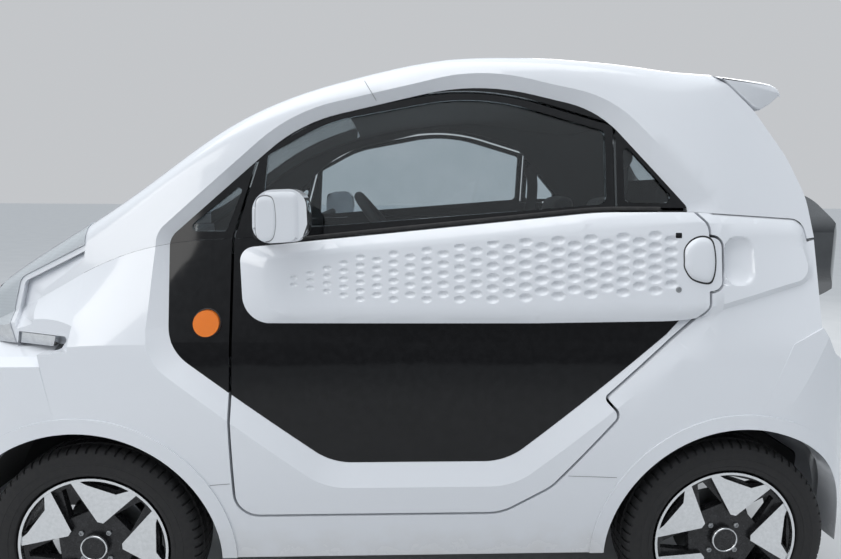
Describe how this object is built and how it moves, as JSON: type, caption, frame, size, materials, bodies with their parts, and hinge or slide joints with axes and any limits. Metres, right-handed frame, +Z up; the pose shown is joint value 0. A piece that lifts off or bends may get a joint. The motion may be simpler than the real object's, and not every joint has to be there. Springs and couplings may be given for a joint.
{
  "type": "two-seat electric microcar",
  "caption": "White two-seat electric microcar with a dark egg-shaped side opening, dimpled belt band, opening doors and tailgate, and steered five-spoke wheels.",
  "frame": {"origin": "on the ground, midway between the axles and on the centreline, below the middle of the bounding box", "axes": "+X points rearward along the car, +Y to the car's right, +Z up"},
  "size_m": [2.5287, 1.62, 1.5729],
  "materials": {
    "paint": "gloss",
    "black_trim": "gloss",
    "glass": "gloss",
    "dark_gloss": "gloss",
    "steel": "satin",
    "alloy": "satin",
    "battery": "matte",
    "seat_cover": "matte",
    "dash_plastic": "matte",
    "clear_lens": "gloss",
    "red_lens": "gloss",
    "tyre": "matte"
  },
  "bodies": {
    "body": {"fenders": "paint", "sills": "paint", "quarters": "paint", "side_inserts": "black_trim", "fixed_glass": "glass", "roof_shell": "paint", "hood": "paint", "front_mask": "black_trim", "front_lamps": "clear_lens", "front_bumper": "paint", "bumper_grilles": "black_trim", "rear_bumper": "paint", "arch_liners": "black_trim", "front_subframe": "steel", "rear_axle": "steel", "drive_motor": "alloy", "floor_pan": "steel", "battery_pack": "battery", "seats": "seat_cover", "dashboard": "dash_plastic"},
    "door_left": {"door_left_panel": "black_trim", "door_left_skirt": "paint", "door_left_band": "paint", "door_left_glass": "glass", "mirror_left": "paint"},
    "door_right": {"door_right_panel": "black_trim", "door_right_skirt": "paint", "door_right_band": "paint", "door_right_glass": "glass", "mirror_right": "paint"},
    "tailgate": {"tailgate_frame": "black_trim", "tailgate_ring": "dark_gloss", "tail_lamps": "red_lens", "tailgate_glass": "glass", "tailgate_spoiler": "paint"},
    "knuckle_l": {"knuckle_left": "steel"},
    "knuckle_r": {"knuckle_right": "steel"},
    "wheel_fl": {"tyre_front_left": "tyre", "rim_front_left": "alloy"},
    "wheel_fr": {"tyre_front_right": "tyre", "rim_front_right": "alloy"},
    "wheel_rl": {"tyre_rear_left": "tyre", "rim_rear_left": "alloy"},
    "wheel_rr": {"tyre_rear_right": "tyre", "rim_rear_right": "alloy"},
    "steering": {"steering_wheel": "dash_plastic"}
  },
  "joints": [
    {"name": "door_left_hinge", "type": "hinge", "parent": "body", "child": "door_left", "pos_m": [-0.47, -0.745, 0.8], "axis": [0, 0, -1], "range_deg": [0, 65]},
    {"name": "door_right_hinge", "type": "hinge", "parent": "body", "child": "door_right", "pos_m": [-0.47, 0.745, 0.8], "axis": [0, 0, 1], "range_deg": [0, 65]},
    {"name": "tailgate_hinge", "type": "hinge", "parent": "body", "child": "tailgate", "pos_m": [0.786, 0, 1.536], "axis": [0, -1, 0], "range_deg": [0, 75]},
    {"name": "steer_left", "type": "hinge", "parent": "body", "child": "knuckle_l", "pos_m": [-0.84, -0.515, 0.277], "axis": [0, 0, 1], "range_deg": [-28, 28]},
    {"name": "steer_right", "type": "hinge", "parent": "body", "child": "knuckle_r", "pos_m": [-0.84, 0.515, 0.277], "axis": [0, 0, 1], "range_deg": [-28, 28]},
    {"name": "spin_front_left", "type": "hinge", "parent": "knuckle_l", "child": "wheel_fl", "pos_m": [-0.84, -0.622, 0.277], "axis": [0, 1, 0], "continuous": true},
    {"name": "spin_front_right", "type": "hinge", "parent": "knuckle_r", "child": "wheel_fr", "pos_m": [-0.84, 0.622, 0.277], "axis": [0, 1, 0], "continuous": true},
    {"name": "spin_rear_left", "type": "hinge", "parent": "body", "child": "wheel_rl", "pos_m": [0.84, -0.622, 0.277], "axis": [0, 1, 0], "continuous": true},
    {"name": "spin_rear_right", "type": "hinge", "parent": "body", "child": "wheel_rr", "pos_m": [0.84, 0.622, 0.277], "axis": [0, 1, 0], "continuous": true},
    {"name": "steering_turn", "type": "hinge", "parent": "body", "child": "steering", "pos_m": [-0.062, -0.3, 1.063], "axis": [0.7771, 0, 0.6293], "range_deg": [-448, 448]}
  ],
  "couplings": [
    {"joint": "steer_right", "follows": "steer_left", "ratio": 1},
    {"joint": "steering_turn", "follows": "steer_left", "ratio": 16}
  ]
}
